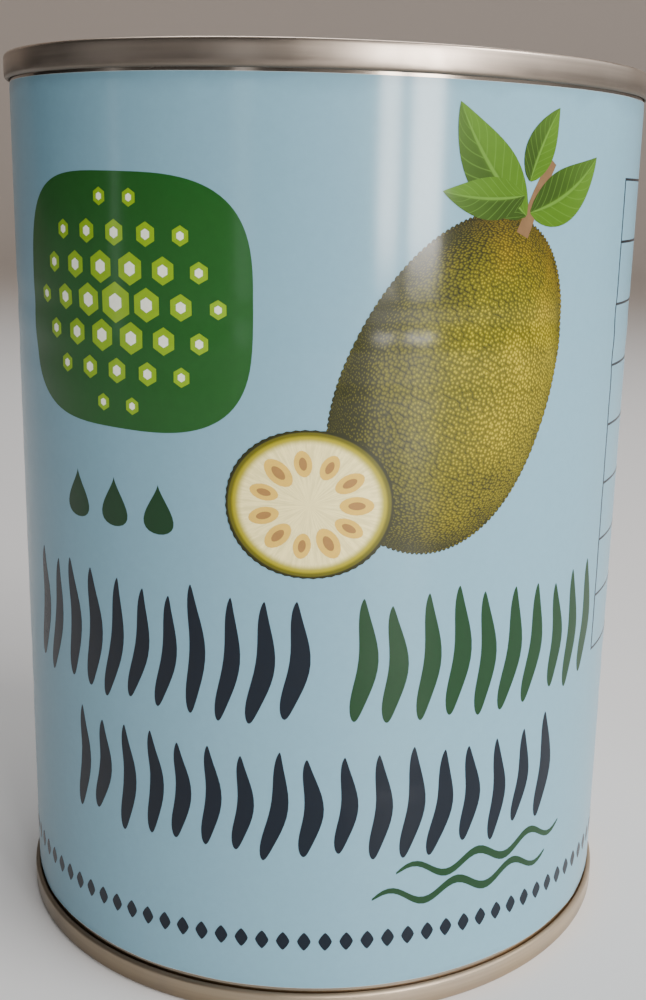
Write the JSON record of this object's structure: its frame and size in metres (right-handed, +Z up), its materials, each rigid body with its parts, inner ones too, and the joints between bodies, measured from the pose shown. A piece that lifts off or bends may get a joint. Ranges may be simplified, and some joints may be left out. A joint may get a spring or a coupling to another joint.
{
  "type": "food can",
  "caption": "Closed round tinplate food can with double-seamed ends, beaded body, wrap-round paper label, and fruit wedges in water inside.",
  "frame": {"origin": "centre of the circle on which the lower double seam stands", "axes": "+Z up along the can's axis, +Y towards the label's glued overlap, -Y towards the label's front"},
  "size_m": [0.0852, 0.0852, 0.1159],
  "materials": {
    "body_tinplate": "satin",
    "end_tinplate": "satin",
    "lining_compound": "matte",
    "label_paper": "gloss",
    "water": "gloss",
    "jackfruit": "satin"
  },
  "bodies": {
    "root": {"can_body": "body_tinplate", "end_top": "end_tinplate", "end_bottom": "end_tinplate", "seal_top": "lining_compound", "seal_bottom": "lining_compound", "label": "label_paper", "packing_water": "water", "jackfruit_chunk_01": "jackfruit", "jackfruit_chunk_02": "jackfruit", "jackfruit_chunk_03": "jackfruit", "jackfruit_chunk_04": "jackfruit", "jackfruit_chunk_05": "jackfruit", "jackfruit_chunk_06": "jackfruit", "jackfruit_chunk_07": "jackfruit", "jackfruit_chunk_08": "jackfruit", "jackfruit_chunk_09": "jackfruit", "jackfruit_chunk_10": "jackfruit", "jackfruit_chunk_11": "jackfruit", "jackfruit_chunk_12": "jackfruit"}
  },
  "joints": []
}
